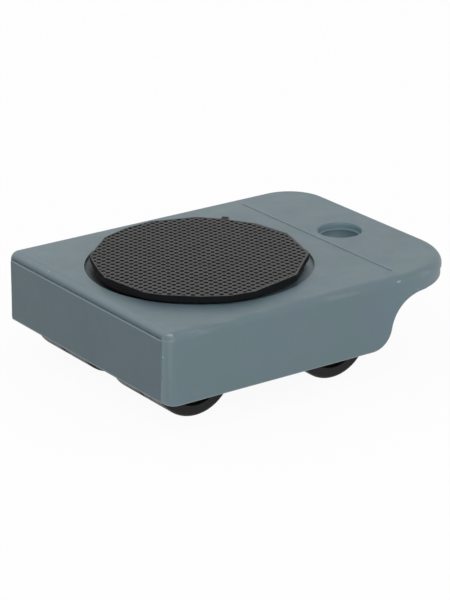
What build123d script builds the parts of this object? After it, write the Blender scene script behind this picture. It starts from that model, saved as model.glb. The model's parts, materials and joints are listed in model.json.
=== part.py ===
"""A low moving dolly: a moulded housing on eight wheels, with a turning grip pad and a pull handle.

Millimetres. X runs from the front face to the handle, Y across, Z up from the floor.
The origin is on the floor, under the middle of the housing's length and width.
"""
import os
from math import atan2, cos, degrees, radians, sin, sqrt, tan

from build123d import *

# Wheels and axles
WHEEL_DIAMETER = 24.0
TREAD_WIDTH = 11.8
TREAD_SHOULDER = 1.0
RIM_THICKNESS = 3.1
RIM_DEPTH = 1.8
HUB_DIAMETER = 9.2
HUB_STANDOUT = 0.3
AXLE_DIAMETER = 5.0
AXLE_CHAMFER = 0.5
WHEEL_RUNNING_FIT = 0.05
HUB_GAP = 0.1
SIDE_PLAY = 0.55
WHEEL_BASE = 44.8

# Housing walls and height
WALL = 2.0
DRAFT = 1.0
RIDE_HEIGHT = 8.65
WHEEL_TOP_GAP = 1.0
DECK_FLOOR = 2.55
FRONT_GAP = 0.5
REAR_REACH = 13.1
TOP_ROUND = 2.4
LOWER_ROUND = 0.8
FRONT_CORNER_ROUND = 2.9

# Front panel: it stands out a little below the rounded nose that the top ends in
PANEL_STEP = 0.2
PANEL_BEVEL = 0.2
PANEL_DROP = 2.4
PANEL_FOOT_BEVEL = 0.2
PANEL_NEAR_MARGIN = 4.3
PANEL_FAR_MARGIN = 2.3
PANEL_NOSE_SETBACK = 0.25
PANEL_NOSE_WRAP = 24.3

# Handle, tow hole and the line in front of it
HANDLE_REACH = 27.6
HANDLE_THICKNESS = 5.75
HANDLE_NEAR_ROUND = 21.5
HANDLE_FAR_ROUND = 12.6
TIP_LIP = 0.4
TIP_LIP_HEIGHT = 2.8
HEEL_ROUND = 6.7
THROAT_ROUND = 10.6
HOLE_SETBACK = 15.3
HOLE_DIAMETER = 12.4
HOLE_LEDGE = 0.7
HOLE_LEDGE_DEPTH = 1.7
HOLE_RIM_ROUND = 0.5
LINE_AHEAD_OF_HOLE = 8.8
LINE_WIDTH = 0.45
LINE_MARGIN = 5.5

# Turntable and grip pad
DECK_MARGIN = 5.7
RECESS_DEPTH = 0.85
DISC_INSET = 2.8
DISC_SLIDE_GAP = 0.1
PAD_LIFT = 0.7
PAD_THICKNESS = 1.65
JOURNAL_DIAMETER = 10.0
JOURNAL_RUNNING_FIT = 0.06
JOURNAL_LENGTH = 8.0
JOURNAL_END_GAP = 0.15
BOSS_WALL = 3.0
PIVOT_WASHER_OVERLAP = 2.2
PIVOT_WASHER_THICKNESS = 1.2
PIVOT_SCREW_DIAMETER = 4.0
PIVOT_SCREW_GRIP = 6.0
PIVOT_HEAD_DIAMETER = 7.6
PIVOT_HEAD_HEIGHT = 2.4

# Pad corners: angles round the turntable in degrees, and how far each stands outside the recess edge
PAD_CORNER_ANGLES = [
    1.5, 24.0, 43.0, 57.0, 81.0, 98.0, 115.0, 144.0, 150.0, 165.0,
    180.0, 199.0, 208.0, 217.0, 236.0, 250.0, 263.0, 294.0, 328.0, 342.4,
]
PAD_CORNER_OVERHANGS = [
    -1.1, -0.5, -0.1, 1.1, 0.6, -0.4, -0.9, -1.6, -2.0, -2.3,
    -1.0, -0.9, 0.5, 0.6, 0.5, 1.0, 0.4, -1.0, -1.4, -2.4,
]

# Axle supports, keepers and screws
CENTRE_SUPPORT_WIDTH = 12.0
SIDE_SUPPORT_WIDTH = 6.0
SUPPORT_LENGTH = 16.0
AXLE_SLOT_FIT = 0.02
AXLE_END_GAP = 0.2
AXLE_END_COVER = 0.8
KEEPER_GAP = 0.2
KEEPER_THICKNESS = 1.3
KEEPER_EDGE = 0.25
SCREW_DIAMETER = 2.6
SCREW_LENGTH = 9.0
SCREW_HEAD_DIAMETER = 4.4
SCREW_HEAD_HEIGHT = 1.0
SCREW_OFFSET = 5.4
SCREW_FIT = 0.02

# Ribs under the deck and the arches behind the rear wheels
RIB = 2.0
RIB_LIFT = 2.0
RIB_WHEEL_GAP = 1.5
ARCH_SIDE_GAP = 0.9
ARCH_RISE = 8.5
ARCH_CORNER_ROUND = 2.0

# Places worked out from the sizes above
WHEEL_RADIUS = WHEEL_DIAMETER / 2
AXLE_RADIUS = AXLE_DIAMETER / 2
AXLE_Z = WHEEL_RADIUS
HUB_WIDTH = TREAD_WIDTH + 2 * HUB_STANDOUT
INNER_WHEEL_Y = CENTRE_SUPPORT_WIDTH / 2 + SIDE_PLAY + HUB_WIDTH / 2
OUTER_WHEEL_Y = INNER_WHEEL_Y + HUB_WIDTH + HUB_GAP
SIDE_SUPPORT_Y = OUTER_WHEEL_Y + HUB_WIDTH / 2 + SIDE_PLAY
AXLE_HALF_LENGTH = SIDE_SUPPORT_Y + SIDE_SUPPORT_WIDTH - AXLE_END_COVER - AXLE_END_GAP

CEILING_Z = WHEEL_DIAMETER + WHEEL_TOP_GAP
RECESS_Z = CEILING_Z + DECK_FLOOR
TOP_Z = RECESS_Z + RECESS_DEPTH
BODY_HEIGHT = TOP_Z - RIDE_HEIGHT
DRAFT_SHIFT = BODY_HEIGHT * tan(radians(DRAFT))
HALF_WIDTH = SIDE_SUPPORT_Y + SIDE_SUPPORT_WIDTH + WALL + DRAFT_SHIFT

LENGTH = WALL + FRONT_GAP + WHEEL_RADIUS + WHEEL_BASE + REAR_REACH + HANDLE_REACH
FRONT_X = -LENGTH / 2
FRONT_AXLE_X = FRONT_X + WALL + FRONT_GAP + WHEEL_RADIUS
REAR_AXLE_X = FRONT_AXLE_X + WHEEL_BASE
PIVOT_X = (FRONT_AXLE_X + REAR_AXLE_X) / 2
REAR_WALL_X = REAR_AXLE_X + REAR_REACH
TIP_X = REAR_WALL_X + HANDLE_REACH
HOLE_X = TIP_X - HOLE_SETBACK
HANDLE_Z = TOP_Z - HANDLE_THICKNESS

HEEL = (REAR_WALL_X - HEEL_ROUND, RIDE_HEIGHT + HEEL_ROUND)
THROAT_Z = HANDLE_Z - THROAT_ROUND
THROAT = (HEEL[0] + sqrt((HEEL_ROUND + THROAT_ROUND) ** 2 - (HEEL[1] - THROAT_Z) ** 2), THROAT_Z)

RECESS_RADIUS = PIVOT_X - FRONT_X - DECK_MARGIN
DISC_RADIUS = RECESS_RADIUS - DISC_INSET
DISC_BOTTOM_Z = RECESS_Z + DISC_SLIDE_GAP
PAD_BOTTOM_Z = TOP_Z + PAD_LIFT
JOURNAL_BOTTOM_Z = RECESS_Z - JOURNAL_LENGTH
BOSS_BOTTOM_Z = JOURNAL_BOTTOM_Z + JOURNAL_END_GAP
BOSS_RADIUS = JOURNAL_DIAMETER / 2 + BOSS_WALL

SUPPORT_Z = AXLE_Z - AXLE_RADIUS - KEEPER_GAP
RIB_Z = RIDE_HEIGHT + RIB_LIFT

WHEEL_ROWS = {"front": FRONT_AXLE_X, "rear": REAR_AXLE_X}
WHEEL_PLACES = {
    "left_outer": OUTER_WHEEL_Y,
    "left_inner": INNER_WHEEL_Y,
    "right_inner": -INNER_WHEEL_Y,
    "right_outer": -OUTER_WHEEL_Y,
}
SUPPORT_PLACES = {
    "left": (SIDE_SUPPORT_Y, SIDE_SUPPORT_Y + SIDE_SUPPORT_WIDTH),
    "centre": (-CENTRE_SUPPORT_WIDTH / 2, CENTRE_SUPPORT_WIDTH / 2),
    "right": (-SIDE_SUPPORT_Y - SIDE_SUPPORT_WIDTH, -SIDE_SUPPORT_Y),
}


def block(x, y, z):
    """A box between pairs of limits."""
    size = Box(x[1] - x[0], y[1] - y[0], z[1] - z[0])
    return Pos((x[0] + x[1]) / 2, (y[0] + y[1]) / 2, (z[0] + z[1]) / 2) * size


def upright(radius, x, z, y=0.0):
    """A vertical cylinder between two heights."""
    return Pos(x, y, (z[0] + z[1]) / 2) * Cylinder(radius, z[1] - z[0])


def crosswise(radius, x, y, z):
    """A cylinder along Y between two limits."""
    return Pos(x, (y[0] + y[1]) / 2, z) * Rot(90, 0, 0) * Cylinder(radius, y[1] - y[0])


def plan(inset):
    """The housing seen from above, at its lower edge, drawn in by a wall."""
    front = FRONT_X + inset
    back = TIP_X + (HANDLE_Z - RIDE_HEIGHT) * tan(radians(DRAFT)) - inset
    face = Pos((front + back) / 2, 0) * Rectangle(back - front, 2 * (HALF_WIDTH - inset))
    rounds = {
        (-1, -1): FRONT_CORNER_ROUND, (-1, 1): FRONT_CORNER_ROUND,
        (1, -1): HANDLE_NEAR_ROUND, (1, 1): HANDLE_FAR_ROUND,
    }
    for (along, across), radius in rounds.items():
        corner = face.vertices().sort_by(lambda place: along * place.X + across * place.Y)[-1]
        face = fillet(corner, max(radius - inset, WALL / 2))
    return face


def hollow_swing():
    """Slope in degrees of the line from the heel's centre to the throat's centre."""
    return degrees(atan2(THROAT[1] - HEEL[1], THROAT[0] - HEEL[0]))


def throat(inset):
    """The hollow curve from the heel up to the underside of the handle."""
    return CenterArc(THROAT, THROAT_ROUND + inset, 180 + hollow_swing(), -90 - hollow_swing())


def slab_behind(start, curve):
    """All that lies in front of and above a side curve, full width."""
    end = curve @ 1
    front = FRONT_X - WALL
    back = TIP_X + WALL
    roof = TOP_Z + WALL
    around = Polyline(end, (back, end.Y), (back, roof), (front, roof), (front, start.Y), start)
    return extrude(Plane.XZ * make_face([curve, around]), HALF_WIDTH + WALL, both=True)


def outer_shell():
    """The moulded outside, with rounded top and lower edges."""
    drafted = Pos(0, 0, RIDE_HEIGHT) * extrude(plan(0), BODY_HEIGHT, taper=DRAFT)
    hollow = throat(0)
    heel = CenterArc(HEEL, HEEL_ROUND, -90, 90 + hollow_swing())
    shell = drafted & slab_behind(heel @ 0, Wire([heel, hollow]))
    shell = fillet(shell.edges().filter_by(lower_edge), LOWER_ROUND)
    top = shell.faces().sort_by(Axis.Z)[-1]
    return fillet(top.edges(), TOP_ROUND)


def lipped_tip(shell):
    """The shell with the end of the handle drawn in below a lip."""
    below = block((HOLE_X, TIP_X + WALL), (-HALF_WIDTH, HALF_WIDTH), (0, TOP_Z - TIP_LIP_HEIGHT))
    return shell - (below - Pos(-TIP_LIP, 0, 0) * shell)


def lower_edge(edge):
    """True for the edges that run round the foot, the heel, the throat and below the handle."""
    box = edge.bounding_box()
    crossing = box.size.Y > HALF_WIDTH and PIVOT_X < box.min.X < HOLE_X
    return box.max.Z < HANDLE_Z + LOWER_ROUND and not crossing


def cavity():
    """The open space inside the housing, which ends before the tow hole and leaves the handle solid."""
    drafted = Pos(0, 0, RIDE_HEIGHT) * extrude(plan(WALL), BODY_HEIGHT, taper=DRAFT)
    hollow = throat(WALL)
    foot = Vector((hollow @ 0).X, 0)
    inside = slab_behind(foot, Wire([Line(foot, hollow @ 0), hollow]))
    end_x = HOLE_X - HOLE_DIAMETER / 2 - WALL
    return drafted & inside & block((FRONT_X, end_x), (-HALF_WIDTH, HALF_WIDTH), (0, CEILING_Z))


def nose_cut(ledge_x):
    """Side view of what is cut away above the panel's ledge to leave the rounded nose."""
    radius = PANEL_DROP / (1 + sin(radians(PANEL_NOSE_WRAP)))
    centre = (ledge_x + PANEL_NOSE_SETBACK + radius, TOP_Z - radius)
    nose = CenterArc(centre, radius, 180 + PANEL_NOSE_WRAP, -90 - PANEL_NOSE_WRAP)
    foot = nose @ 0
    crest = nose @ 1
    open_x = FRONT_X - WALL
    return make_face([nose, Polyline(crest, (open_x, crest.Y), (open_x, foot.Y), foot)])


def front_panel(shell):
    """The shell with its front face changed for the panel and the nose above it."""
    near = -HALF_WIDTH + PANEL_NEAR_MARGIN
    far = HALF_WIDTH - PANEL_FAR_MARGIN
    top = TOP_Z - PANEL_DROP
    back_x = FRONT_X + WALL
    ledge_x = FRONT_X + (top - RIDE_HEIGHT) * tan(radians(DRAFT))
    outline = Polygon(
        (back_x, RIDE_HEIGHT), (FRONT_X + PANEL_FOOT_BEVEL, RIDE_HEIGHT),
        (FRONT_X, RIDE_HEIGHT + PANEL_FOOT_BEVEL), (ledge_x - PANEL_STEP, top - PANEL_BEVEL),
        (ledge_x, top), (back_x, top), align=None)
    plate = extrude(Plane.XZ.offset(-far) * outline, far - near, dir=(0, -1, 0))
    above = extrude(Plane.XZ.offset(-HALF_WIDTH) * nose_cut(ledge_x), HALF_WIDTH - near, dir=(0, -1, 0))
    return shell - block((FRONT_X - WALL, back_x), (near, far), (0, top)) - above + plate


def ribs():
    """Ribs and the pivot boss under the deck."""
    across = (-HALF_WIDTH, HALF_WIDTH)
    height = (RIB_Z, CEILING_Z)
    made = upright(BOSS_RADIUS, PIVOT_X, (BOSS_BOTTOM_Z, CEILING_Z))
    made += block((FRONT_X, THROAT[0]), (-RIB / 2, RIB / 2), height)
    beside = WHEEL_RADIUS + RIB_WHEEL_GAP + RIB / 2
    for middle in (FRONT_AXLE_X + beside, PIVOT_X, REAR_AXLE_X - beside):
        made += block((middle - RIB / 2, middle + RIB / 2), across, height)
    return made - upright(BOSS_RADIUS, PIVOT_X, (0, BOSS_BOTTOM_Z))


def supports():
    """Blocks that carry the axles, three on each."""
    made = []
    for axle_x in WHEEL_ROWS.values():
        length = (axle_x - SUPPORT_LENGTH / 2, axle_x + SUPPORT_LENGTH / 2)
        made.append(block(length, SUPPORT_PLACES["centre"], (SUPPORT_Z, CEILING_Z)))
        for side in (-1, 1):
            width = sorted((side * SIDE_SUPPORT_Y, side * (HALF_WIDTH - WALL / 2)))
            made.append(block(length, width, (SUPPORT_Z, CEILING_Z)))
    return made


def axle_slot(axle_x):
    """The round-topped slot that an axle is pushed into from below."""
    radius = AXLE_RADIUS + AXLE_SLOT_FIT
    reach = (-AXLE_HALF_LENGTH - AXLE_END_GAP, AXLE_HALF_LENGTH + AXLE_END_GAP)
    round_top = crosswise(radius, axle_x, reach, AXLE_Z)
    return round_top + block((axle_x - radius, axle_x + radius), reach, (0, AXLE_Z))


def screw_places():
    """Where the keeper screws stand, as pairs of X and Y."""
    places = []
    for axle_x in WHEEL_ROWS.values():
        for low, high in SUPPORT_PLACES.values():
            for side in (-SCREW_OFFSET, SCREW_OFFSET):
                places.append((axle_x + side, (low + high) / 2))
    return places


def arch(side):
    """The notch in the rear wall that clears one pair of rear wheels."""
    inner = INNER_WHEEL_Y - TREAD_WIDTH / 2 - ARCH_SIDE_GAP
    outer = OUTER_WHEEL_Y + TREAD_WIDTH / 2 + ARCH_SIDE_GAP
    height = ARCH_RISE + ARCH_CORNER_ROUND
    middle = (side * (inner + outer) / 2, RIDE_HEIGHT + ARCH_RISE - height / 2)
    face = Pos(*middle) * Rectangle(outer - inner, height)
    face = fillet(face.vertices().group_by(Axis.Y)[-1], ARCH_CORNER_ROUND)
    return Pos(REAR_AXLE_X + SUPPORT_LENGTH / 2, 0, 0) * extrude(Plane.YZ * face, REAR_REACH)


def tow_hole():
    """The stepped hole through the handle, with a rounded rim."""
    radius = HOLE_DIAMETER / 2
    ledge_z = TOP_Z - HOLE_LEDGE_DEPTH
    hole = upright(radius, HOLE_X, (ledge_z, TOP_Z))
    hole += upright(radius - HOLE_LEDGE, HOLE_X, (HANDLE_Z - WALL, TOP_Z))
    flare = upright(radius + HOLE_RIM_ROUND, HOLE_X, (TOP_Z - HOLE_RIM_ROUND, TOP_Z))
    rim = Pos(HOLE_X, 0, TOP_Z - HOLE_RIM_ROUND) * Torus(radius + HOLE_RIM_ROUND, HOLE_RIM_ROUND)
    return hole + (flare - rim)


def deck_line():
    """The fine bead across the deck in front of the tow hole, half sunk in it."""
    reach = HALF_WIDTH - DRAFT_SHIFT - LINE_MARGIN
    return crosswise(LINE_WIDTH / 2, HOLE_X - LINE_AHEAD_OF_HOLE, (-reach, reach), TOP_Z)


def housing():
    """The moulded shell with its ribs, axle supports, recess and holes."""
    inner = cavity()
    made = front_panel(lipped_tip(outer_shell())) - inner
    made += ribs() & inner
    for support in supports():
        made += support
    for axle_x in WHEEL_ROWS.values():
        made -= axle_slot(axle_x)
    for x, y in screw_places():
        made -= upright(SCREW_DIAMETER / 2 + SCREW_FIT, x, (0, screw_tip_z() + KEEPER_GAP), y)
    for side in (-1, 1):
        made -= arch(side)
    made -= upright(RECESS_RADIUS, PIVOT_X, (RECESS_Z, TOP_Z + WALL))
    made -= upright(JOURNAL_DIAMETER / 2 + JOURNAL_RUNNING_FIT, PIVOT_X, (0, TOP_Z))
    return made - tow_hole() + deck_line()


def screw_tip_z():
    """Height of a keeper screw's tip."""
    return SUPPORT_Z - KEEPER_THICKNESS + SCREW_LENGTH


def wheel(axle_x, middle_y):
    """One moulded wheel with a rounded tread, dished faces and a hub."""
    bore = AXLE_RADIUS + WHEEL_RUNNING_FIT
    rim = WHEEL_RADIUS - RIM_THICKNESS
    half_tread = TREAD_WIDTH / 2
    half_web = half_tread - RIM_DEPTH
    half_hub = HUB_WIDTH / 2
    hub = HUB_DIAMETER / 2
    section = Polygon(
        (bore, -half_hub), (hub, -half_hub), (hub, -half_web), (rim, -half_web), (rim, -half_tread),
        (WHEEL_RADIUS, -half_tread), (WHEEL_RADIUS, half_tread), (rim, half_tread), (rim, half_web),
        (hub, half_web), (hub, half_hub), (bore, half_hub), align=None)
    section = fillet(section.vertices().group_by(Axis.X)[-1], TREAD_SHOULDER)
    return Pos(axle_x, middle_y, AXLE_Z) * revolve(section, Axis.Y)


def axle(axle_x):
    """One steel rod across the housing."""
    rod = crosswise(AXLE_RADIUS, axle_x, (-AXLE_HALF_LENGTH, AXLE_HALF_LENGTH), AXLE_Z)
    return chamfer(rod.edges().filter_by(GeomType.CIRCLE), AXLE_CHAMFER)


def countersink(x, y, fit):
    """The head and shank of a keeper screw, as a tool or as the screw itself."""
    foot = SUPPORT_Z - KEEPER_THICKNESS
    shank = upright(SCREW_DIAMETER / 2 + fit, x, (foot, screw_tip_z()), y)
    head = Pos(x, y, foot + SCREW_HEAD_HEIGHT / 2) * Cone(
        SCREW_HEAD_DIAMETER / 2 + fit, SCREW_DIAMETER / 2 + fit, SCREW_HEAD_HEIGHT)
    return shank + head


def keeper(axle_x, limits):
    """One strap under an axle support, with two countersunk holes."""
    length = (axle_x - SUPPORT_LENGTH / 2 + KEEPER_EDGE, axle_x + SUPPORT_LENGTH / 2 - KEEPER_EDGE)
    width = (limits[0] + KEEPER_EDGE, limits[1] - KEEPER_EDGE)
    made = block(length, width, (SUPPORT_Z - KEEPER_THICKNESS, SUPPORT_Z))
    for side in (-SCREW_OFFSET, SCREW_OFFSET):
        made -= countersink(axle_x + side, (limits[0] + limits[1]) / 2, SCREW_FIT)
    return made


def keeper_screws():
    """All the keeper screws, each with a cross recess in its head."""
    slot_z = (0, SUPPORT_Z - KEEPER_THICKNESS + SCREW_HEAD_HEIGHT / 2)
    slot = (SCREW_DIAMETER / 2, SCREW_HEAD_HEIGHT / 4)
    made = []
    for x, y in screw_places():
        screw = countersink(x, y, 0)
        for along, across in (slot, slot[::-1]):
            screw -= block((x - along, x + along), (y - across, y + across), slot_z)
        made.append(screw)
    return Compound(children=made)


def turntable_disc():
    """The disc that turns in the deck, with its journal and a hole for the pivot screw."""
    made = upright(DISC_RADIUS, PIVOT_X, (DISC_BOTTOM_Z, PAD_BOTTOM_Z))
    made += upright(JOURNAL_DIAMETER / 2, PIVOT_X, (JOURNAL_BOTTOM_Z, PAD_BOTTOM_Z))
    return made - upright(PIVOT_SCREW_DIAMETER / 2 + SCREW_FIT, PIVOT_X, (0, PAD_BOTTOM_Z))


def grip_pad():
    """The hand-cut rubber pad on the disc."""
    corners = []
    for turn, overhang in zip(PAD_CORNER_ANGLES, PAD_CORNER_OVERHANGS):
        radius = RECESS_RADIUS + overhang
        corners.append((PIVOT_X + radius * cos(radians(turn)), radius * sin(radians(turn))))
    return Pos(0, 0, PAD_BOTTOM_Z) * extrude(Polygon(*corners, align=None), PAD_THICKNESS)


def pivot_washer():
    """The washer under the boss that holds the turntable down."""
    height = (JOURNAL_BOTTOM_Z - PIVOT_WASHER_THICKNESS, JOURNAL_BOTTOM_Z)
    made = upright(JOURNAL_DIAMETER / 2 + PIVOT_WASHER_OVERLAP, PIVOT_X, height)
    return made - upright(PIVOT_SCREW_DIAMETER / 2 + SCREW_FIT, PIVOT_X, height)


def pivot_screw():
    """The screw from below, through the washer into the journal."""
    seat = JOURNAL_BOTTOM_Z - PIVOT_WASHER_THICKNESS
    made = upright(PIVOT_SCREW_DIAMETER / 2, PIVOT_X, (seat, JOURNAL_BOTTOM_Z + PIVOT_SCREW_GRIP))
    made += upright(PIVOT_HEAD_DIAMETER / 2, PIVOT_X, (seat - PIVOT_HEAD_HEIGHT, seat))
    slot = (PIVOT_SCREW_DIAMETER / 2, PIVOT_HEAD_HEIGHT / 6)
    for along, across in (slot, slot[::-1]):
        made -= block((PIVOT_X - along, PIVOT_X + along), (-across, across),
                      (seat - PIVOT_HEAD_HEIGHT, seat - PIVOT_HEAD_HEIGHT / 2))
    return made


def all_parts():
    """Every node by name."""
    parts = {
        "housing": housing(),
        "turntable_disc": turntable_disc(),
        "grip_pad": grip_pad(),
        "pivot_washer": pivot_washer(),
        "pivot_screw": pivot_screw(),
        "keeper_screws": keeper_screws(),
    }
    for row, axle_x in WHEEL_ROWS.items():
        parts[f"{row}_axle"] = axle(axle_x)
        for place, middle_y in WHEEL_PLACES.items():
            parts[f"wheel_{row}_{place}"] = wheel(axle_x, middle_y)
        for place, limits in SUPPORT_PLACES.items():
            parts[f"{row}_{place}_keeper"] = keeper(axle_x, limits)
    return parts


def main():
    os.makedirs("parts", exist_ok=True)
    for name, shape in all_parts().items():
        export_step(shape, f"parts/{name}.step")
    print(f"length {LENGTH:.2f}, width {2 * HALF_WIDTH:.2f}, height {PAD_BOTTOM_Z + PAD_THICKNESS:.2f}")


main()
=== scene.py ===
"""Dresses a packed moving dolly: finishes for its moulded and steel parts, a dimpled grip pad and a stage."""
import json
from math import cos, prod, radians, sin

import bmesh
import bpy
from bpy.props import FloatProperty, FloatVectorProperty, IntProperty, PointerProperty
from mathutils import Matrix, Vector, noise


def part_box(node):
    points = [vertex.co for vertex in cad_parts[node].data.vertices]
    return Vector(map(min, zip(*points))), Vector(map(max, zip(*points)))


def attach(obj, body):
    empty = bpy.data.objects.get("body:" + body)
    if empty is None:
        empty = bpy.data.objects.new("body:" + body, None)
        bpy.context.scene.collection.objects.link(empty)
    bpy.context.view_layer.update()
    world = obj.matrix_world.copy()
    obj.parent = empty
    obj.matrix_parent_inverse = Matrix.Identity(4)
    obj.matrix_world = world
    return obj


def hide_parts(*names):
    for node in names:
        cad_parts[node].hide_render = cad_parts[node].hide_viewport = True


bl_info = {
    "name": "Moving dolly looks",
    "version": (1, 0, 0),
    "blender": (4, 5, 0),
    "location": "3D View > Sidebar > Dolly",
    "description": "Finishes, grip pad and stage for a packed moving dolly",
    "category": "Object",
}

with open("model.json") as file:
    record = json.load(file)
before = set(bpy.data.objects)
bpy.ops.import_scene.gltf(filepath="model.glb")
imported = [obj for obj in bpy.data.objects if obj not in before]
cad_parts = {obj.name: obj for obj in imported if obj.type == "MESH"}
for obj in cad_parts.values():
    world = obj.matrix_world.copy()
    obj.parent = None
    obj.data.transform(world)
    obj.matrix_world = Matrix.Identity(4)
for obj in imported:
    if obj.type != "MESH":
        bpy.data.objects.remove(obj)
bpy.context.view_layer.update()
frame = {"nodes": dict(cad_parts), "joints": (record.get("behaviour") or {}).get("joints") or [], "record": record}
MM = 0.001

PIVOT_X, _, DECK_Z = next(joint for joint in frame["joints"] if joint["name"] == "turntable_spin")["pos_m"]
TOW_HOLE = next(mount for mount in frame["record"]["mounts"] if mount["name"] == "tow_hole")
WHEEL_JOINTS = [joint for joint in frame["joints"] if joint["name"].startswith("wheel_")]
FRONT_AXLE_X = min(joint["pos_m"][0] for joint in WHEEL_JOINTS)
REAR_AXLE_X = max(joint["pos_m"][0] for joint in WHEEL_JOINTS)
AXLE_Z = WHEEL_JOINTS[0]["pos_m"][2]

# Sizes that the part's source has too, in millimetres
LINE_X = 25.9
RECESS_RADIUS = 31.2
HOLE_LEDGE_DEPTH = 1.7

# How far the housing's walls lean in over a height of 1
WALL_LEAN = 0.0175

# The pad's corners in the part's source: degrees round the turntable, and millimetres outside the recess
PAD_CORNER_ANGLES = [
    1.5, 24.0, 43.0, 57.0, 81.0, 98.0, 115.0, 144.0, 150.0, 165.0,
    180.0, 199.0, 208.0, 217.0, 236.0, 250.0, 263.0, 294.0, 328.0, 342.4,
]
PAD_CORNER_OVERHANGS = [
    -1.1, -0.5, -0.1, 1.1, 0.6, -0.4, -0.9, -1.6, -2.0, -2.3,
    -1.0, -0.9, 0.5, 0.6, 0.5, 1.0, 0.4, -1.0, -1.4, -2.4,
]

# How often each side of the pad's outline is divided, and the grain of its wander, in millimetres
CUT_STEPS = 12
CUT_GRAIN = 1.3

# Points this near to a cut count as on it, in metres
CUT_TOLERANCE = 1e-7

# A face of the pad's body that looks up by more than this belongs to the rim's top
LOOKS_UP = 0.5

# The corners of a dimple, then the grain of the wobble in the rows, in millimetres, and its seed
DIMPLE_SIDES = 8
WOBBLE_GRAIN = 4
WOBBLE_SEED = 1

# The tab that the cutting left: degrees round the turntable, then sizes in millimetres
TAB_ANGLE = 42.5
TAB_REACH = 31.8
TAB_DROP = 0.35
TAB_SIZE = (2.6, 2.0, 1.0)
TAB_ROUND = 0.25

# Light nicks, painted highlights and dark pits in the moulded plastic: a point and a reach, in millimetres
NICKS_AND_HIGHLIGHTS = [
    ((23.9, -39.78, 27.1), 0.36),
    ((24.3, -39.79, 27.14), 0.38),
    ((24.7, -39.8, 27.18), 0.3),
    ((30.73, -39.99, 23.63), 0.28),
    ((-49.77, -36.82, 21.66), 0.4),
    # Painted highlights: four on the near front corner's rounded top, then one on the nose
    ((-48.8, -37.7, 27.83), 0.3),
    ((-48.6, -38.1, 27.89), 0.35),
    ((-48.4, -38.35, 27.93), 0.4),
    ((-48.22, -38.58, 27.95), 0.5),
    ((-48.75, 19.83, 27.91), 0.35),
]
PITS = [
    ((-49.78, -36.5, 21.17), 0.4),
    ((-49.87, -36.52, 15.98), 0.45),
]

# The share of its reach within which each nick, painted highlight and pit is full
SPOT_CORE = 0.4

# Areas of a piece, each a list of limits. A limit names a distance, then gives where along it the area starts
# and where it is full, in millimetres. The housing's distances come from housing_distances.
FRONT_PANEL = [
    ("behind_front", 1.4, 1.2),
    ("past_near_end", -0.05, 0.05),
    ("past_far_end", -0.05, 0.05),
    ("above_panel", -0.15, -0.25),
]
# Where the painted shade under the nose lies, above the panel's ledge
UNDER_NOSE = [
    ("above_panel", 1.35, 0.75),
    ("above_panel", 0.05, 0.4),
    ("behind_front", 2.2, 1.6),
    ("behind_front", 0.3, 0.5),
    ("past_near_end", -0.3, 0.3),
]
DECK = [("above_deck", -0.3, -0.1)]
DECK_EDGE = [("above_deck", -2.2, -0.9), ("in_from_side", 2.8, 1.2)]
SIDES = [("in_from_side", 2.2, 1.4), ("above_deck", -0.6, -1.6)]
RECESS_FLOOR = [("outside_recess", 0.2, 0), ("above_deck", -0.1, -0.4)]
INSIDE_HOLE = [("outside_hole", 1.3, 1.1)]
RIDGE_TOPS = [("above_ridges", -0.1, -0.01), ("above_ridges", 0.12, 0.08)]
REAR_HALF = [("behind_pivot", -0.1, 0.1)]
TREAD = [("outside_tread", -0.35, -0.1)]

# Marks in the moulded plastic, each a strength and the limits of its area: painted shade in the recess, painted
# light and shade in the tow hole and on the sides, and painted highlights and wear on the edges
# Painted shade on the recess's floor: towards the front, where the pad's shadow falls, and deeper next to the disc
RECESS_SHADE = {
    "towards the front": (0.3, ("behind_pivot", -15, -28)),
    "towards the front and the disc": (0.4, ("behind_pivot", -15, -28), ("outside_recess", -0.3, -2.2)),
}
HOLE_LIGHT = {
    "above the ledge": (0.33, ("above_ledge", -0.1, 0), ("above_deck", -0.2, -0.4)),
    "the ledge's edge": (0.45, ("above_ledge", -0.14, -0.04), ("above_ledge", 0.14, 0.04)),
    "shade under the ledge": (-0.22, ("above_ledge", -0.65, -0.5), ("above_ledge", -0.15, -0.3)),
    "below the ledge": (0.5, ("above_ledge", -0.6, -2.4)),
    "lower end": (0.3, ("above_ledge", -2.0, -2.8)),
}
# Painted light and shade on the sides: the sides a little darker, the sides towards the handle lighter where light
# from the right falls on them, and the deck a little lighter along the sides
SIDE_LIGHT_AND_SHADE = {
    "sides": (-0.035, *SIDES),
    "sides towards the handle": (0.1, *SIDES, ("behind_pivot", 25.1, 49.1)),
    "deck along the sides": (0.05, ("in_from_side", 20, 6), ("above_deck", -0.4, -0.1)),
}
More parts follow.
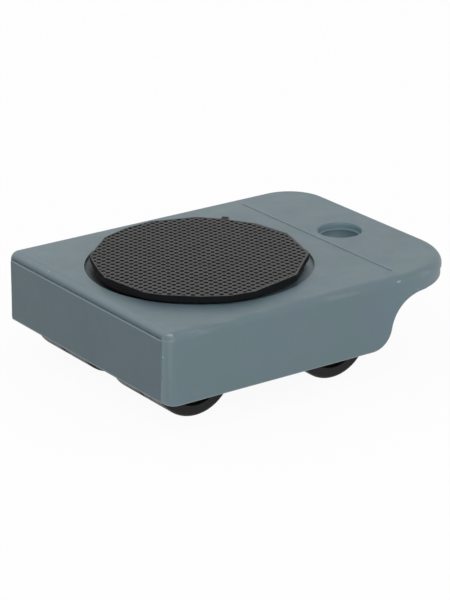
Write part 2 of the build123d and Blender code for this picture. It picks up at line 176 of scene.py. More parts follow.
# Lighter marks: painted highlights on the panel's top and where it turns the corner, on the nose, on the raised
# line and its back, on the recess's front edge and on the handle's tip; painted light over the shade at the
# panel's near end; painted highlights and wear on the deck's edges and the front corners; and a lighter band along
# the foot
HIGHLIGHTS_AND_WEAR = {
    "deck's edges": (0.04, *DECK_EDGE),
    "front corners": (0.12, ("inside_corner", 1.2, 1.11)),
    "foot": (0.42, ("above_foot", 0.75, 0.2)),
    "panel's top": (
        0.35, ("above_panel", -0.3, -0.16), ("above_panel", 0.1, 0.02), ("behind_front", 0.6, 0.4),
        ("past_near_end", -0.1, 0.1)),
    "panel's top where it turns the corner": (
        0.22, ("above_slant", -0.32, -0.2), ("above_slant", 0.12, 0), ("past_near_end", 0, -0.3),
        ("behind_front", 1.8, 1.0)),
    "panel's near end": (
        0.11, ("past_near_end", -0.6, -0.25), ("past_near_end", 0.4, 0.05), ("above_panel", 0, -0.3),
        ("behind_front", 1.2, 0.8)),
    "nose": (0.23, ("above_panel", 1.25, 1.6), ("above_panel", 2.42, 2.15), ("behind_front", 2.4, 1.6)),
    "raised line": (0.4, ("above_deck", 0.08, 0.16)),
    "raised line's back": (0.8, ("behind_line", -0.05, 0.1), ("above_deck", 0.03, 0.1)),
    "front of the recess's edge": (
        0.22, ("outside_recess", -0.13, 0.02), ("outside_recess", 0.37, 0.22), ("above_deck", -0.25, -0.1),
        ("behind_pivot", -15, -26)),
    "handle's tip": (0.22, ("before_tip", 1.6, 0.4)),
}

# Strengths of the streaks of painted highlight and wear along the deck's edges, the deck's mottle, the pits and
# the painted shade under the nose
STREAKS = 0.22
MOTTLE = 0.3
PIT_SHADE = 0.4
NOSE_SHADE = 1.35

# How much painted shade in the recess beyond the look's own makes the grime full
FULL_GRIME = 0.4

# How far the strip of a front corner with its painted highlight and wear faces forwards and sideways
CORNER_FORWARDS = 0.77
CORNER_SIDEWAYS = 0.63

# How far the panel's top rises over a length of 1 where it turns the corner
TURNED_SLANT = 0.22

# Heights in the bumps of the plastic's slow waves and fine grain, and of the wheels' grain and turned rings
SKIN_WAVES = 0.85
SKIN_GRAIN = 0.1
WHEEL_GRAIN = 0.6
WHEEL_RINGS = 0.1

# How fast the rings follow each other over a wheel's face, in radians to a millimetre
RING_RATE = 9.0

# The stage's lamps: the setting for the power, the size and the place, in metres
LAMPS = {
    "fill_lamp": ("fill", 0.6, (-0.6, -0.9, 0.45)),
    "rear_panel": ("behind", 1.0, (0.1, 1.0, 0.55)),
    "handle_lamp": ("beside", 0.5, (0.9, -0.5, 0.1)),
}
WHITE = (1, 1, 1, 1)
FLOOR_SIDES = 96

# How far the camera sees, in metres
CAMERA_REACH = 20


class Value:
    """A number that changes over a surface, so that a finish can be written as sums."""

    def __init__(self, finish, socket):
        self.finish = finish
        self.socket = socket

    def __add__(self, other):
        return self.finish.math("ADD", self, other)

    def __radd__(self, other):
        return self.finish.math("ADD", other, self)

    def __sub__(self, other):
        return self.finish.math("SUBTRACT", self, other)

    def __rsub__(self, other):
        return self.finish.math("SUBTRACT", other, self)

    def __mul__(self, other):
        return self.finish.math("MULTIPLY", self, other)

    def __rmul__(self, other):
        return self.finish.math("MULTIPLY", other, self)

    def __pow__(self, other):
        return self.finish.math("POWER", self, other)

    def __abs__(self):
        return self.finish.math("ABSOLUTE", self)


class Finish:
    """A node tree that is being filled."""

    def __init__(self, tree):
        self.tree = tree
        tree.nodes.clear()

    def node(self, kind, settings=None, sockets=None):
        """Adds a node, makes its settings, then fills or links its sockets, each named or numbered."""
        node = self.tree.nodes.new("ShaderNode" + kind)
        for name, setting in (settings or {}).items():
            setattr(node, name, setting)
        for name, given in (sockets or {}).items():
            numbered = isinstance(name, int)
            socket = node.inputs[name] if numbered else next(
                found for found in node.inputs if found.enabled and found.name == name)
            given = given.socket if isinstance(given, Value) else given
            if isinstance(given, bpy.types.NodeSocket):
                self.tree.links.new(given, socket)
            else:
                socket.default_value = given
        return node

    def value(self, node, name=None):
        """A node's output as a number to reckon with."""
        return Value(self, next(out for out in node.outputs if out.enabled and name in (None, out.name)))

    def math(self, operation, *numbers):
        """The result of a Math node."""
        return self.value(self.node("Math", {"operation": operation}, dict(enumerate(numbers))))

    def place(self):
        """Where a point lies on the piece, in metres."""
        return self.node("TexCoord").outputs["Object"]

    def axes(self):
        """Where a point lies along X, Y and Z, in millimetres."""
        apart = self.node("SeparateXYZ", sockets={"Vector": self.place()})
        return [self.value(apart, axis) * (1 / MM) for axis in "XYZ"]

    def grain(self, size, detail, stretch=(1, 1, 1)):
        """Cloudy noise around 0.5 with grains of a size in millimetres."""
        turned = self.node("Mapping", sockets={"Vector": self.place(), "Scale": stretch})
        cloud = self.node("TexNoise", sockets={
            "Vector": turned.outputs["Vector"], "Scale": 1 / (size * MM), "Detail": detail})
        return self.value(cloud, "Fac")

    def vary(self, middle, grain, spread):
        """A number that wanders round a middle as a grain does round 0.5."""
        return middle + spread * (grain - 0.5)

    def step(self, number, low, high):
        """A soft step from 0 at one limit to 1 at the other."""
        return self.value(self.node("MapRange", {"interpolation_type": "SMOOTHSTEP"}, {
            "Value": number, "From Min": low, "From Max": high}))

    def patches(self, size, detail, low, high, stretch=(1, 1, 1)):
        """Patches of a size in millimetres, from 0 at one level of the grain to 1 at the other."""
        return self.step(self.grain(size, detail, stretch), low, high)

    def area(self, distances, limits):
        """1 where a point is past every limit of an area, 0 outside it."""
        passed = [self.step(distances[name], start, full) for name, start, full in limits]
        return prod(passed[1:], start=passed[0])

    def marks(self, distances, table):
        """The marks of a table, each as strong as it says, added up."""
        return sum(strength * self.area(distances, limits) for strength, *limits in table.values())

    def spots(self, places):
        """1 at each of some points of the piece, 0 from its reach away, in millimetres."""
        spots = []
        for point, reach in places:
            away = self.node("VectorMath", {"operation": "DISTANCE"}, {
                0: self.place(), 1: [along * MM for along in point]})
            spots.append(self.step(self.value(away, "Value"), reach * MM, SPOT_CORE * reach * MM))
        return sum(spots)

    def mix(self, mask, colour, other):
        """One colour where the mask is 0, the other where it is 1."""
        mixed = self.node("Mix", {"data_type": "RGBA"}, {
            "Factor": mask, "A": paint(colour), "B": paint(other)})
        return next(out for out in mixed.outputs if out.enabled)

    def shades(self, mask, colour, dark, light):
        """A colour from a darker to a lighter shade, each given as a share of it."""
        return self.mix(mask, [dark * part for part in colour], [light * part for part in colour])

    def tint(self, colour, strength):
        """A colour made lighter or darker by a number around 1."""
        scaled = self.node("VectorMath", {"operation": "SCALE"}, {"Vector": colour, "Scale": strength})
        return scaled.outputs["Vector"]

    def bump(self, height, distance):
        """A surface direction from a height between 0 and 1, full height in millimetres."""
        return self.node("Bump", sockets={"Height": height, "Distance": distance * MM}).outputs["Normal"]

    def shader(self, sockets):
        """A principled shader, not yet joined to the material's output."""
        return self.node("BsdfPrincipled", sockets=sockets).outputs["BSDF"]

    def end(self, shader):
        """Ends a material with a shader."""
        self.node("OutputMaterial", sockets={"Surface": shader})

    def end_mixed(self, mask, shader, other):
        """Ends a material with one shader where the mask is 0 and the other where it is 1."""
        self.end(self.node("MixShader", sockets={0: mask, 1: shader, 2: other}).outputs["Shader"])

    def background(self):
        """1 where the camera looks, straight, in a reflection or through glass, 0 for light on the dolly."""
        path = self.node("LightPath")
        seen = self.value(path, "Is Camera Ray")
        for ray in ("Is Glossy Ray", "Is Transmission Ray"):
            seen = self.math("MAXIMUM", seen, self.value(path, ray))
        return seen


def paint(colour):
    """A colour as a socket takes it."""
    return (*colour, 1.0) if isinstance(colour, (tuple, list)) else colour


def new_finish(name):
    """A new material and its empty node tree."""
    material = bpy.data.materials.new(name)
    material.use_nodes = True
    return material, Finish(material.node_tree)


def dress(node, material):
    """Puts a material on a CAD node."""
    mesh = frame["nodes"][node].data
    mesh.materials.clear()
    mesh.materials.append(material)


class DollyHousing(bpy.types.PropertyGroup):
    """The moulded housing's plastic and the limits of its front panel."""
    colour: FloatVectorProperty(
        name="Colour", description="Colour of the moulded plastic", subtype="COLOR",
        default=(0.1015, 0.152, 0.18))
    drift: FloatVectorProperty(
        name="Drift", description="Colour that the plastic drifts towards in clouds", subtype="COLOR",
        default=(0.0985, 0.1555, 0.171))
    # Colour of the painted highlights and the wear on the edges
    highlight_and_wear_colour: FloatVectorProperty(
        name="Rubbed colour", description="Colour of the plastic where an edge is rubbed", subtype="COLOR",
        default=(0.25, 0.31, 0.33))
    panel_colour: FloatVectorProperty(
        name="Panel colour", description="Colour of the front panel", subtype="COLOR",
        default=(0.044, 0.079, 0.0965))
    panel_near_margin: FloatProperty(
        name="Near margin", description="From the panel to the right side, in millimetres", default=4.3)
    panel_far_margin: FloatProperty(
        name="Far margin", description="From the panel to the left side, in millimetres", default=2.3)
    panel_drop: FloatProperty(
        name="Panel drop", description="From the deck down to the panel's top, in millimetres", default=2.4)
    roughness: FloatProperty(
        name="Roughness", description="Roughness of the satin plastic", subtype="FACTOR", default=0.46)
    gloss: FloatProperty(
        name="Gloss", description="Specular level of the satin plastic", subtype="FACTOR", default=0.58)
    # Strength of the painted shade in the recess and under the nose; the grime is matt where that painted shade is
    # deepest
    painted_shade: FloatProperty(
        name="Soil", description="How much soil darkens the recess and the nose", subtype="FACTOR",
        default=0.3)
    grime: FloatProperty(
        name="Grime", description="How far the most soiled plastic turns to matt grime", subtype="FACTOR",
        default=0.5)
    grime_roughness: FloatProperty(
        name="Grime roughness", description="Roughness of the grime", subtype="FACTOR", default=0.85)
    grime_gloss: FloatProperty(
        name="Grime gloss", description="Specular level of the grime", subtype="FACTOR", default=0.06)


class DollyPad(bpy.types.PropertyGroup):
    """The grip pad's dimples and its rubber."""
    row_pitch: FloatProperty(
        name="Row pitch", description="From one dimple to the next in a row, in millimetres", default=1.816)
    row_turn: FloatProperty(
        name="Row turn", description="Turn of the rows of dimples", subtype="ANGLE", default=radians(14.36))
    column_pitch: FloatProperty(
        name="Column pitch", description="From one row of dimples to the next, in millimetres", default=1.783)
    column_turn: FloatProperty(
        name="Column turn", description="Turn of the columns of dimples", subtype="ANGLE",
        default=radians(100.66))
    wobble: FloatProperty(
        name="Wobble", description="How far the rows of dimples wander, in millimetres", default=0.1)
    ridge: FloatProperty(
        name="Ridge", description="Half the ridge between dimples, in millimetres", default=0.23)
    slope: FloatProperty(
        name="Slope", description="How far a dimple's wall runs in, in millimetres", default=0.08)
    depth: FloatProperty(name="Depth", description="Depth of a dimple, in millimetres", default=0.7)
    cells: IntProperty(
        name="Cells", description="Dimples along the sheet that the pad is cut from", default=40)
    rim: FloatProperty(
        name="Rim", description="Width of the flat rim round the pad, in millimetres", default=0.45)
    rim_shift: FloatProperty(
        name="Rim shift", description="How much wider the rim is towards the handle, in millimetres",
        default=0.2)
    rim_lift: FloatProperty(
        name="Rim lift", description="How far the rim stands above the ridges, in millimetres", default=0.06)
    cut_wander: FloatProperty(
        name="Cut wander", description="How far the hand-cut edge wanders, in millimetres", default=0.12)
    # The ridges' tops: dust with painted sheen, lighter than the rubber in the dimples
    ridge_colour: FloatVectorProperty(
        name="Ridge colour", description="Dusty rubber on the ridges", subtype="COLOR",
        default=(0.11, 0.109, 0.1085))
    dimple_colour: FloatVectorProperty(
        name="Dimple colour", description="Rubber in the dimples", subtype="COLOR",
        default=(0.0235, 0.0237, 0.024))
    cut_colour: FloatVectorProperty(
        name="Cut colour", description="Clean rubber on the cut side", subtype="COLOR",
        default=(0.0066, 0.0076, 0.0082))
    roughness: FloatProperty(
        name="Roughness", description="Roughness of the rubber in the dimples", subtype="FACTOR",
        default=0.62)
    dust_roughness: FloatProperty(
        name="Dust roughness", description="How much rougher the dusty ridges are", subtype="FACTOR",
        default=0.16)
    cut_roughness: FloatProperty(
        name="Cut roughness", description="Roughness of the cut side", subtype="FACTOR", default=0.7)
    gloss: FloatProperty(
        name="Gloss", description="Specular level of the rubber", subtype="FACTOR", default=0.08)


class DollyDisc(bpy.types.PropertyGroup):
    """The turntable disc's moulded plastic."""
    colour: FloatVectorProperty(
        name="Colour", description="Colour of the disc", subtype="COLOR", default=(0.008, 0.008, 0.009))
    worn_colour: FloatVectorProperty(
        name="Worn colour", description="Colour of the disc where it is worn", subtype="COLOR",
        default=(0.02, 0.02, 0.021))
    roughness: FloatProperty(
        name="Roughness", description="Roughness of the disc", subtype="FACTOR", default=0.5)
    gloss: FloatProperty(
        name="Gloss", description="Specular level of the disc", subtype="FACTOR", default=0.3)


class DollyWheel(bpy.types.PropertyGroup):
    """The wheels' moulded plastic."""
    colour: FloatVectorProperty(
        name="Colour", description="Colour of the wheels", subtype="COLOR", default=(0.0085, 0.0085, 0.0098))
    dust_colour: FloatVectorProperty(
        name="Dust colour", description="Colour of the dust on the treads", subtype="COLOR",
        default=(0.026, 0.026, 0.027))
    dust: FloatProperty(
        name="Dust", description="How much dust covers the scuffs in the treads", subtype="FACTOR",
        default=0.5)
    roughness: FloatProperty(
        name="Roughness", description="Roughness of the wheels", subtype="FACTOR", default=0.42)
    scuff_roughness: FloatProperty(
        name="Scuff roughness", description="How much rougher the scuffs in the treads are", subtype="FACTOR",
        default=0.2)
    gloss: FloatProperty(
        name="Gloss", description="Specular level of the wheels", subtype="FACTOR", default=0.18)


class DollySteel(bpy.types.PropertyGroup):
    """The plated steel under the deck."""
    colour: FloatVectorProperty(
        name="Colour", description="Colour of the plating", subtype="COLOR", default=(0.56, 0.56, 0.55))
    dull_colour: FloatVectorProperty(
        name="Dull colour", description="Colour of the plating where it has dulled", subtype="COLOR",
        default=(0.36, 0.36, 0.37))
    roughness: FloatProperty(
        name="Roughness", description="Roughness of the plating", subtype="FACTOR", default=0.32)
    dull_roughness: FloatProperty(
        name="Dull roughness", description="How much rougher the dulled plating is", subtype="FACTOR",
        default=0.22)


class DollyStage(bpy.types.PropertyGroup):
    """The floor, the light and the camera."""
    floor_radius: FloatProperty(
        name="Floor radius", description="Radius of the floor", unit="LENGTH", default=4.0)
    floor_colour: FloatVectorProperty(
        name="Floor colour", description="Colour of the floor in the light", subtype="COLOR",
        default=(0.9, 0.9, 0.9))
    floor_glow: FloatProperty(
        name="Floor white", description="Share of plain white in the floor that the camera sees",
        subtype="FACTOR", default=0.94)
    sky: FloatProperty(name="Sky", description="Strength of the even light from all round", default=0.75)
    fill: FloatProperty(
        name="Fill", description="Power of the soft lamp beside the camera", unit="POWER", default=4.1)
    behind: FloatProperty(
        name="Behind", description="Power of the soft panel behind the dolly", unit="POWER", default=0.85)
    beside: FloatProperty(
        name="Beside", description="Power of the soft lamp by the handle", unit="POWER", default=0.5)
    camera_turn: FloatProperty(
        name="Camera turn", description="Direction of the camera round the dolly", subtype="ANGLE",
        default=radians(-34.974))
    camera_rise: FloatProperty(
        name="Camera rise", description="Height of the camera above the horizon", subtype="ANGLE",
        default=radians(20.669))
    camera_roll: FloatProperty(
        name="Camera roll", description="Tilt of the picture", subtype="ANGLE", default=radians(-0.244))
    camera_distance: FloatProperty(
        name="Camera distance", description="From the aim to the camera", unit="LENGTH", default=0.7306)
    camera_aim: FloatVectorProperty(
        name="Camera aim", description="Point at the middle of the picture", subtype="XYZ",
        default=(-0.005978, -0.001871, 0.016915))
    camera_lens: FloatProperty(name="Lens", description="Focal length in millimetres", default=160.376)


def housing_distances(finish, look):
    """Distances over the housing that its marks are placed by, in millimetres."""
    x, y, z = finish.axes()
    low, high = [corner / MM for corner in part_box("housing")]
    behind_front = x - low.x
    behind_pivot = x - PIVOT_X / MM
    behind_hole = x - TOW_HOLE["pos_m"][0] / MM
    in_from_side = high.y - abs(y)
    past_near_end = y - low.y - look.panel_near_margin
    above_foot = z - low.z
    above_deck = z - DECK_Z / MM
    above_panel = above_deck + look.panel_drop
    leaning = WALL_LEAN * above_foot
    return {
        "behind_front": behind_front,
        "behind_pivot": behind_pivot,
        "behind_line": x - LINE_X,
        "before_tip": high.x - x,
        "in_from_side": in_from_side,
        "past_near_end": past_near_end,
        "past_far_end": high.y - look.panel_far_margin - y,
        "above_foot": above_foot,
        "above_deck": above_deck,
        "above_ledge": above_deck + HOLE_LEDGE_DEPTH,
        "above_panel": above_panel,
        "above_slant": above_panel + TURNED_SLANT * past_near_end,
        "outside_recess": (behind_pivot ** 2 + y ** 2) ** 0.5 - RECESS_RADIUS,
        "outside_hole": (behind_hole ** 2 + y ** 2) ** 0.5 - TOW_HOLE["dims"]["r_mm"],
        "inside_corner":
            CORNER_FORWARDS * (behind_front - leaning) + CORNER_SIDEWAYS * (in_from_side - leaning),
    }


def plastic_colour(finish, look):
    """Cloudy blue grey, with a fine fleck."""
    cloud = finish.patches(size=13, detail=2, low=0.35, high=0.65)
    clouded = finish.mix(cloud, look.colour[:], look.drift[:])
    return finish.tint(clouded, finish.vary(1, finish.grain(size=1.6, detail=3), spread=0.08))


def housing_colour(finish, look, distances, painted_shade):
    """The plastic with painted shade in the recess and under the nose, painted light and shade on the sides and in
    the tow hole, the darker front panel, and painted highlights and wear on the edges.
    """
    # Painted shade under the nose and in the recess, and the dark pits, darken the plastic
    nose_shade = NOSE_SHADE * look.painted_shade * finish.area(distances, UNDER_NOSE)
    shaded = (1 - painted_shade) * (1 - nose_shade) - PIT_SHADE * finish.spots(PITS)
    hole_light = finish.area(distances, INSIDE_HOLE) * finish.marks(distances, HOLE_LIGHT)
    mottle = MOTTLE * finish.area(distances, DECK) * (finish.grain(size=5, detail=3) - 0.5)
    # Adds the painted light and shade on the sides, and the deck's mottle
    strength = shaded + hole_light + finish.marks(distances, SIDE_LIGHT_AND_SHADE) + mottle
    colour = finish.tint(plastic_colour(finish, look), strength)
    panel_tone = finish.vary(1, finish.grain(size=3, detail=3), spread=0.1)
    panel_colour = finish.tint(look.panel_colour[:], panel_tone)
    colour = finish.mix(finish.area(distances, FRONT_PANEL), colour, panel_colour)
    # Streaks of painted highlight and wear along the deck's edges
    streaks = finish.patches(size=2.4, detail=2, low=0.5, high=0.7, stretch=(0.2, 1, 1))
    streaks = STREAKS * streaks * finish.area(distances, DECK_EDGE)
    # Painted highlights and wear on the edges, the nicks and the painted highlights on the corner and the nose, in
    # uneven strength
    lightened = finish.marks(distances, HIGHLIGHTS_AND_WEAR) + streaks + finish.spots(NICKS_AND_HIGHLIGHTS)
    worn = finish.vary(1, finish.grain(size=2.2, detail=2), spread=0.6)
    return finish.mix(worn * lightened, colour, look.highlight_and_wear_colour[:])


def housing_material(look):
    """Satin plastic that turns to matt grime where the recess's painted shade is deepest."""
    material, finish = new_finish("moulded_housing")
    distances = housing_distances(finish, look)
    # Painted shade on the recess's floor, which also places the matt grime
    painted_shade = finish.area(distances, RECESS_FLOOR) * (look.painted_shade + finish.marks(distances, RECESS_SHADE))
    colour = housing_colour(finish, look, distances, painted_shade)
    smudge = finish.grain(size=9, detail=3)
    waves = finish.grain(size=5, detail=1)
    skin = SKIN_WAVES * waves + SKIN_GRAIN * finish.grain(size=0.7, detail=2)
    normal = finish.bump(skin, distance=0.05)
    plastic = finish.shader({
        "Base Color": colour,
        "Roughness": finish.vary(look.roughness, smudge, spread=0.12),
        "Specular IOR Level": look.gloss,
        "Normal": normal,
    })
    grime = finish.shader({
        "Base Color": colour,
        "Roughness": finish.vary(look.grime_roughness, smudge, spread=0.2),
        "Specular IOR Level": look.grime_gloss,
        "Normal": normal,
    })
    grimy = look.grime * finish.step(painted_shade, look.painted_shade, look.painted_shade + FULL_GRIME)
    finish.end_mixed(grimy, plastic, grime)
    return material


def pad_material(look, top):
    """Rubber with dust and painted sheen on the tops of its ridges and rim."""
    material, finish = new_finish("grip_rubber")
    # Dust and painted sheen on the tops of the ridges and the rim, over the darker rubber in the dimples
    dusty = finish.area({"above_ridges": finish.axes()[2] - top}, RIDGE_TOPS)
    dust = finish.shades(finish.grain(size=7, detail=3), look.ridge_colour, dark=0.86, light=1.14)
    speck = finish.vary(1, finish.grain(size=0.4, detail=2), spread=0.3)
    speck = finish.vary(speck, finish.grain(size=1.4, detail=1), spread=0.3)
    finish.end(finish.shader({
        "Base Color": finish.tint(finish.mix(dusty, look.dimple_colour[:], dust), speck),
        "Roughness": look.roughness + look.dust_roughness * dusty,
        "Specular IOR Level": look.gloss,
        "Normal": finish.bump(finish.grain(size=0.3, detail=2), distance=0.04),
    }))
    return material


def cut_material(look):
    """Clean rubber on the pad's cut side."""
    material, finish = new_finish("cut_rubber")
    shorn = finish.grain(size=0.8, detail=3, stretch=(1, 1, 0.3))
    finish.end(finish.shader({
        "Base Color": finish.shades(shorn, look.cut_colour, dark=0.6, light=1.4),
        "Roughness": finish.vary(look.cut_roughness, shorn, spread=0.2),
        "Specular IOR Level": look.gloss,
        "Normal": finish.bump(shorn, distance=0.06),
    }))
    return material


def disc_material(look):
    """Black plastic, worn in clouds."""
    material, finish = new_finish("turntable_plastic")
    worn = finish.grain(size=4, detail=3)
    finish.end(finish.shader({
        "Base Color": finish.mix(worn, look.colour[:], look.worn_colour[:]),
        "Roughness": finish.vary(look.roughness, worn, spread=0.2),
        "Specular IOR Level": look.gloss,
        "Normal": finish.bump(finish.grain(size=0.4, detail=2), distance=0.03),
    }))
    return material


def wheel_material(look):
    """Black plastic, with dusty scuffs in the tread and fine turned rings on the faces."""
    material, finish = new_finish("wheel_plastic")
    x, _, z = finish.axes()
    rear = finish.area({"behind_pivot": x - PIVOT_X / MM}, REAR_HALF)
    axle_x = FRONT_AXLE_X / MM + (REAR_AXLE_X - FRONT_AXLE_X) / MM * rear
    radius = ((x - axle_x) ** 2 + (z - AXLE_Z / MM) ** 2) ** 0.5
    tread = finish.area({"outside_tread": radius - AXLE_Z / MM}, TREAD)
    scuff = tread * finish.patches(size=1.6, detail=3, low=0.42, high=0.75)
    worn = finish.vary(0.5, finish.grain(size=3, detail=3), spread=0.5)
    colour = finish.shades(worn, look.colour, dark=0.8, light=1.3)
    rings = finish.math("SINE", RING_RATE * radius) * (1 - tread)
    height = WHEEL_GRAIN * finish.grain(size=0.5, detail=2) + WHEEL_RINGS * rings
    finish.end(finish.shader({
        "Base Color": finish.mix(look.dust * scuff, colour, look.dust_colour[:]),
        "Roughness": look.roughness + look.scuff_roughness * scuff,
        "Specular IOR Level": look.gloss,
        "Normal": finish.bump(height, distance=0.03),
    }))
    return material


def steel_material(look):
    """Plating that has dulled in patches, brushed across the dolly."""
    material, finish = new_finish("plated_steel")
    bloom = finish.patches(size=2.4, detail=3, low=0.35, high=0.7)
    brushed = finish.grain(size=0.3, detail=2, stretch=(1, 0.08, 1))
    finish.end(finish.shader({
        "Base Color": finish.mix(bloom, look.colour[:], look.dull_colour[:]),
        "Metallic": 1.0,
        "Roughness": look.roughness + look.dull_roughness * bloom,
        "Normal": finish.bump(brushed, distance=0.02),
    }))
    return material


def pad_corners():
    """The corners of the hand-cut pad, in order."""
    corners = []
    for turn, overhang in zip(PAD_CORNER_ANGLES, PAD_CORNER_OVERHANGS):
        radius = (RECESS_RADIUS + overhang) * MM
        corners.append(Vector((PIVOT_X + radius * cos(radians(turn)), radius * sin(radians(turn)), 0)))
    return corners


def cut_outline(mesh, corners, inset=0.0):
    """Trims a sheet to the pad's outline or inside it, one straight cut at a time."""
    for start, end in zip(corners, corners[1:] + corners[:1]):
        along = end - start
        outward = Vector((along.y, -along.x, 0)).normalized()
        bmesh.ops.bisect_plane(
            mesh, geom=mesh.verts[:] + mesh.edges[:] + mesh.faces[:], dist=CUT_TOLERANCE,
            plane_co=start - outward * inset, plane_no=outward, clear_outer=True)


def extrude_to(mesh, edges, height):
    """Draws open edges straight up or down to a height."""
    made = bmesh.ops.extrude_edge_only(mesh, edges=edges)["geom"]
    moved = [part for part in made if isinstance(part, bmesh.types.BMVert)]
    bmesh.ops.scale(mesh, vec=(1, 1, 0), verts=moved, space=Matrix.Translation((0, 0, -height)))
    return [part for part in made if isinstance(part, bmesh.types.BMEdge)]


def rim_body(look, corners, bottom, top):
    """The pad below its dimples: a flat rim, a hand-cut side and an underside."""
    mesh = bmesh.new()
    lifted = top + look.rim_lift * MM
    middle = Vector((PIVOT_X, 0, lifted))
    bmesh.ops.create_grid(
        mesh, x_segments=1, y_segments=1, size=2 * RECESS_RADIUS * MM, matrix=Matrix.Translation(middle))
    cut_outline(mesh, corners)
    bmesh.ops.subdivide_edges(mesh, edges=mesh.edges[:], cuts=CUT_STEPS)
    for vert in mesh.verts:
        outward = (vert.co - middle).normalized()
        vert.co += outward * noise.noise(vert.co / (CUT_GRAIN * MM)) * look.cut_wander * MM
    sheet = mesh.faces[:]
    bmesh.ops.inset_region(
        mesh, faces=sheet, thickness=look.rim * MM, use_boundary=True, use_even_offset=True)
    inner = {vert for face in sheet for vert in face.verts}
    bmesh.ops.translate(mesh, verts=list(inner), vec=(-look.rim_shift * MM, 0, 0))
    bmesh.ops.delete(mesh, geom=sheet, context="FACES_ONLY")
    edges = [edge for edge in mesh.edges if edge.is_boundary]
    extrude_to(mesh, [edge for edge in edges if edge.verts[0] in inner], top - look.rim_lift * MM)
    foot = extrude_to(mesh, [edge for edge in edges if edge.verts[0] not in inner], bottom)
    bmesh.ops.edgeloop_fill(mesh, edges=[edge for edge in foot if edge.is_boundary])
    bmesh.ops.recalc_face_normals(mesh, faces=mesh.faces[:])
    for face in mesh.faces:
        face.material_index = 0 if face.normal.z > LOOKS_UP else 1
    return mesh


def dimple_sheet(body, look, corners, top):
    """Adds a sheet of round dimples, cut to run a little way under the rim."""
    mesh = bmesh.new()
    row = Vector((cos(look.row_turn), sin(look.row_turn), 0)) * look.row_pitch * MM
    column = Vector((cos(look.column_turn), sin(look.column_turn), 0)) * look.column_pitch * MM
    skewed = Matrix((row, column, Vector((0, 0, 1)))).transposed().to_4x4()
    bmesh.ops.create_grid(
        mesh, x_segments=look.cells, y_segments=look.cells, size=look.cells / 2,
        matrix=Matrix.Translation((PIVOT_X, 0, top)) @ skewed)
    noise.seed_set(WOBBLE_SEED)
    for vert in mesh.verts:
        drawn = noise.noise_vector(vert.co / (WOBBLE_GRAIN * MM))
        vert.co += Vector((drawn.x, drawn.y, 0)) * look.wobble * MM
    # This much off each corner leaves a nearly regular octagon
    corner_cut = look.column_pitch * MM / (2 + 2 ** 0.5)
    bmesh.ops.bevel(
        mesh, geom=mesh.verts[:], offset=corner_cut, offset_type="OFFSET", affect="VERTICES", segments=1,
        profile=0.5, material=-1)
    wells = [face for face in mesh.faces if len(face.verts) == DIMPLE_SIDES]
    bmesh.ops.inset_individual(mesh, faces=wells, thickness=look.ridge * MM, depth=0)
    bmesh.ops.inset_individual(mesh, faces=wells, thickness=look.slope * MM, depth=-look.depth * MM)
    cut_outline(mesh, corners, (look.rim - look.rim_shift) * MM / 2)
    sheet = bpy.data.meshes.new("dimple_sheet")
    mesh.to_mesh(sheet)
    mesh.free()
    body.from_mesh(sheet)
    bpy.data.meshes.remove(sheet)


def add_tab(mesh, top):
    """The small tab that the cutting left on the pad's edge."""
    turn = Matrix.Translation((PIVOT_X, 0, top - TAB_DROP * MM)) @ Matrix.Rotation(radians(TAB_ANGLE), 4, "Z")
    size = Matrix.Diagonal((*(side * MM for side in TAB_SIZE), 1))
    place = turn @ Matrix.Translation((TAB_REACH * MM, 0, 0)) @ size
    made = bmesh.ops.create_cube(mesh, size=1.0, matrix=place)["verts"]
    edges = list({edge for vert in made for edge in vert.link_edges})
    bmesh.ops.bevel(
        mesh, geom=edges, offset=TAB_ROUND * MM, offset_type="OFFSET", affect="EDGES", segments=2,
        profile=0.5, material=-1)


def new_piece(name, mesh, *materials):
    """Turns a finished bmesh into an object with its materials."""
    bmesh.ops.recalc_face_normals(mesh, faces=mesh.faces[:])
    data = bpy.data.meshes.new(name)
    mesh.to_mesh(data)
    mesh.free()
    for material in materials:
        data.materials.append(material)
    piece = bpy.data.objects.new(name, data)
    bpy.context.scene.collection.objects.link(piece)
    return piece


def floor_material(look):
    """A pale floor that the camera and reflections see as white, with the dolly's shadow."""
    material, finish = new_finish("pale_floor")
    plain = finish.node("BsdfDiffuse", sockets={"Color": paint(look.floor_colour[:])})
    white = finish.node("Emission", sockets={"Color": WHITE, "Strength": 1.0})
    seen = look.floor_glow * finish.background()
    finish.end_mixed(seen, plain.outputs["BSDF"], white.outputs["Emission"])
    # The white is only looked at, so it isn't sampled as a lamp
    material.cycles.emission_sampling = "NONE"
    return material


def make_floor(look):
    """A round floor under the dolly."""
    mesh = bmesh.new()
    bmesh.ops.create_circle(mesh, cap_ends=True, segments=FLOOR_SIDES, radius=look.floor_radius)
    new_piece("pale_floor", mesh, floor_material(look))


def make_sky(look):
    """Even light from all round, white where the camera or a reflection sees it."""
    world = bpy.data.worlds.new("studio")
    world.use_nodes = True
    finish = Finish(world.node_tree)
    strength = look.sky + (1 - look.sky) * finish.background()
    glow = finish.node("Background", sockets={"Color": WHITE, "Strength": strength})
    finish.node("OutputWorld", sockets={"Surface": glow.outputs["Background"]})
    bpy.context.scene.world = world


def make_lamp(name, power, size, place):
    """A square soft lamp that faces the dolly."""
    lamp = bpy.data.lights.new(name, "AREA")
    lamp.energy = power
    lamp.size = size
    fitted = bpy.data.objects.new(name, lamp)
    fitted.location = place
    fitted.rotation_euler = (-Vector(place)).to_track_quat("-Z", "Y").to_euler()
    bpy.context.scene.collection.objects.link(fitted)


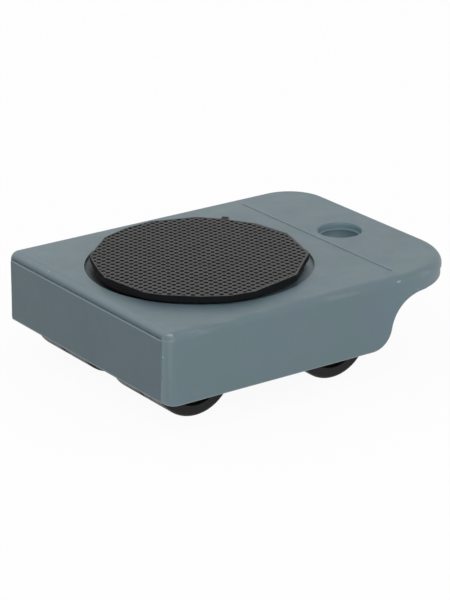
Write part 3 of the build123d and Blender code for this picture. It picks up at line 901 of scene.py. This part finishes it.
def make_camera(look):
    """A camera at the photograph's viewing angle."""
    turn, rise = look.camera_turn, look.camera_rise
    back = Vector((sin(turn) * cos(rise), -cos(turn) * cos(rise), sin(rise)))
    level = Vector((cos(turn), sin(turn), 0))
    right = Matrix.Rotation(look.camera_roll, 3, back) @ level
    turned = Matrix((right, back.cross(right), back)).transposed()
    place = Vector(look.camera_aim) + back * look.camera_distance
    data = bpy.data.cameras.new("camera")
    data.lens = look.camera_lens
    data.clip_end = CAMERA_REACH
    camera = bpy.data.objects.new("camera", data)
    camera.matrix_world = Matrix.Translation(place) @ turned.to_4x4()
    bpy.context.scene.collection.objects.link(camera)
    bpy.context.scene.camera = camera


class DOLLY_OT_stage(bpy.types.Operator):
    """Make the floor, the light and the camera"""
    bl_idname = "dolly.stage"
    bl_label = "Set the stage"

    def execute(self, context):
        look = context.scene.dolly_stage
        context.scene.view_settings.view_transform = "Standard"
        make_floor(look)
        make_sky(look)
        for name, (power, size, place) in LAMPS.items():
            make_lamp(name, getattr(look, power), size, place)
        make_camera(look)
        return {"FINISHED"}


class DOLLY_OT_housing(bpy.types.Operator):
    """Give the housing its moulded plastic"""
    bl_idname = "dolly.housing"
    bl_label = "Finish the housing"

    def execute(self, context):
        dress("housing", housing_material(context.scene.dolly_housing))
        return {"FINISHED"}


class DOLLY_OT_grip_pad(bpy.types.Operator):
    """Make the dimpled rubber pad, cut to its outline"""
    bl_idname = "dolly.grip_pad"
    bl_label = "Make the grip pad"

    def execute(self, context):
        look = context.scene.dolly_pad
        low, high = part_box("grip_pad")
        corners = pad_corners()
        mesh = rim_body(look, corners, low.z, high.z)
        dimple_sheet(mesh, look, corners, high.z)
        add_tab(mesh, high.z)
        piece = new_piece("dimpled_grip_pad", mesh, pad_material(look, high.z / MM), cut_material(look))
        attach(piece, "turntable")
        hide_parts("grip_pad")
        return {"FINISHED"}


class DOLLY_OT_turntable(bpy.types.Operator):
    """Give the turntable disc its black plastic"""
    bl_idname = "dolly.turntable"
    bl_label = "Finish the turntable"

    def execute(self, context):
        dress("turntable_disc", disc_material(context.scene.dolly_disc))
        return {"FINISHED"}


class DOLLY_OT_wheels(bpy.types.Operator):
    """Give the wheels their black plastic"""
    bl_idname = "dolly.wheels"
    bl_label = "Finish the wheels"

    def execute(self, context):
        material = wheel_material(context.scene.dolly_wheel)
        for node in frame["nodes"]:
            if node.startswith("wheel_"):
                dress(node, material)
        return {"FINISHED"}


class DOLLY_OT_steel(bpy.types.Operator):
    """Give the axles, keepers, screws and washer their plated steel"""
    bl_idname = "dolly.steel"
    bl_label = "Finish the steel"

    def execute(self, context):
        material = steel_material(context.scene.dolly_steel)
        for part in frame["record"]["subparts"]:
            if part["material_slot"] == "steel":
                dress(part["node"], material)
        return {"FINISHED"}


OPERATORS = (
    DOLLY_OT_stage, DOLLY_OT_housing, DOLLY_OT_grip_pad, DOLLY_OT_turntable, DOLLY_OT_wheels, DOLLY_OT_steel)


class DOLLY_PT_looks(bpy.types.Panel):
    """Lists the steps that dress the dolly"""
    bl_idname = "DOLLY_PT_looks"
    bl_label = "Moving dolly"
    bl_space_type = "VIEW_3D"
    bl_region_type = "UI"
    bl_category = "Dolly"

    def draw(self, context):
        for operator in OPERATORS:
            self.layout.operator(operator.bl_idname)


GROUPS = {
    "dolly_stage": DollyStage,
    "dolly_housing": DollyHousing,
    "dolly_pad": DollyPad,
    "dolly_disc": DollyDisc,
    "dolly_wheel": DollyWheel,
    "dolly_steel": DollySteel,
}


def register():
    """Adds the classes, and their settings to the scene."""
    for made in (*GROUPS.values(), *OPERATORS, DOLLY_PT_looks):
        bpy.utils.register_class(made)
    for name, group in GROUPS.items():
        setattr(bpy.types.Scene, name, PointerProperty(type=group))


def unregister():
    """Takes the settings and the classes away again."""
    for name in GROUPS:
        delattr(bpy.types.Scene, name)
    for made in (DOLLY_PT_looks, *OPERATORS, *GROUPS.values()):
        bpy.utils.unregister_class(made)


def main():
    """Dresses the dolly step by step."""
    register()
    bpy.ops.dolly.stage()
    bpy.ops.dolly.housing()
    bpy.ops.dolly.grip_pad()
    bpy.ops.dolly.turntable()
    bpy.ops.dolly.wheels()
    bpy.ops.dolly.steel()


if __name__ == "__main__":
    main()
